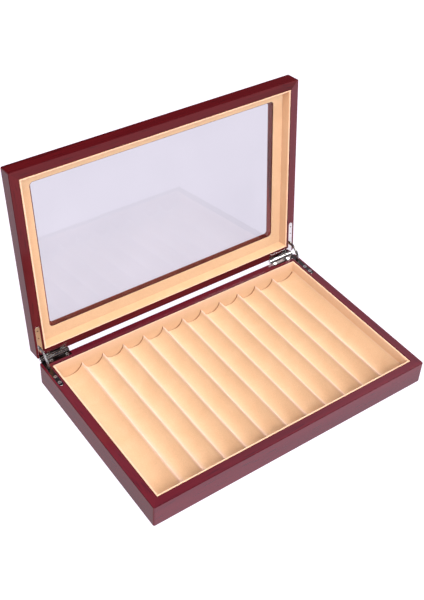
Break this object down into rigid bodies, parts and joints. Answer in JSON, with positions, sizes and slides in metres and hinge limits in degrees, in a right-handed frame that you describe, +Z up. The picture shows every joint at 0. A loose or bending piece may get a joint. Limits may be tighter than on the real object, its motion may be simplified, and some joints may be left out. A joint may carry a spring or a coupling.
{
  "type": "pen display case",
  "caption": "Flat lacquered wooden display case with round-bottomed velvet grooves for pens, and a hinged lid with a glass window, held open by curved stays.",
  "frame": {"origin": "centre of the underside, on the face of the felt", "axes": "+X to the right along the long side, +Y from the front to the hinges at the back, +Z up; the lid stands at its open stop"},
  "size_m": [0.32, 0.2465, 0.2341],
  "materials": {
    "lacquered_wood": "satin lacquer over a red-brown stain",
    "floor_board": "plain board",
    "felt": "thin felt",
    "insert_board": "pressed board",
    "velvet": "short-pile velvet",
    "window_glass": "clear float glass",
    "hinge_metal": "bright nickel plate",
    "screw_metal": "bright nickel plate"
  },
  "bodies": {
    "base": {"base_front_wall": "lacquered_wood", "base_back_wall": "lacquered_wood", "base_left_wall": "lacquered_wood", "base_right_wall": "lacquered_wood", "base_bottom_panel": "floor_board", "base_felt": "felt", "base_lining_front": "velvet", "base_lining_back": "velvet", "base_lining_left": "velvet", "base_lining_right": "velvet", "groove_core_lower": "insert_board", "groove_core_middle": "insert_board", "groove_core_upper": "insert_board", "groove_cover": "velvet", "hinge_left_base_leaf": "hinge_metal", "hinge_right_base_leaf": "hinge_metal", "hinge_left_pin": "hinge_metal", "hinge_right_pin": "hinge_metal", "base_hinge_screws": "screw_metal"},
    "lid": {"lid_front_rail": "lacquered_wood", "lid_back_rail": "lacquered_wood", "lid_left_rail": "lacquered_wood", "lid_right_rail": "lacquered_wood", "lid_top_panel": "lacquered_wood", "window_glass": "window_glass", "window_mat": "velvet", "lid_lining_front": "velvet", "lid_lining_back": "velvet", "lid_lining_left": "velvet", "lid_lining_right": "velvet", "hinge_left_lid_leaf": "hinge_metal", "hinge_right_lid_leaf": "hinge_metal", "lid_hinge_screws": "screw_metal"},
    "stay_left": {"hinge_left_stay": "hinge_metal", "hinge_left_stay_pins": "hinge_metal"},
    "stay_right": {"hinge_right_stay": "hinge_metal", "hinge_right_stay_pins": "hinge_metal"}
  },
  "joints": [
    {"name": "lid_hinge", "type": "hinge", "parent": "base", "child": "lid", "pos_m": [0, 0.106, 0.02615], "axis": [1, 0, 0], "range_deg": [0, 96]},
    {"name": "stay_left_turn", "type": "hinge", "parent": "base", "child": "stay_left", "pos_m": [-0.1554, 0.106, 0.02615], "axis": [1, 0, 0], "range_deg": [0, 48]},
    {"name": "stay_right_turn", "type": "hinge", "parent": "base", "child": "stay_right", "pos_m": [0.1554, 0.106, 0.02615], "axis": [1, 0, 0], "range_deg": [0, 48]}
  ],
  "couplings": [
    {"joint": "stay_left_turn", "follows": "lid_hinge", "ratio": 0.5},
    {"joint": "stay_right_turn", "follows": "lid_hinge", "ratio": 0.5}
  ]
}
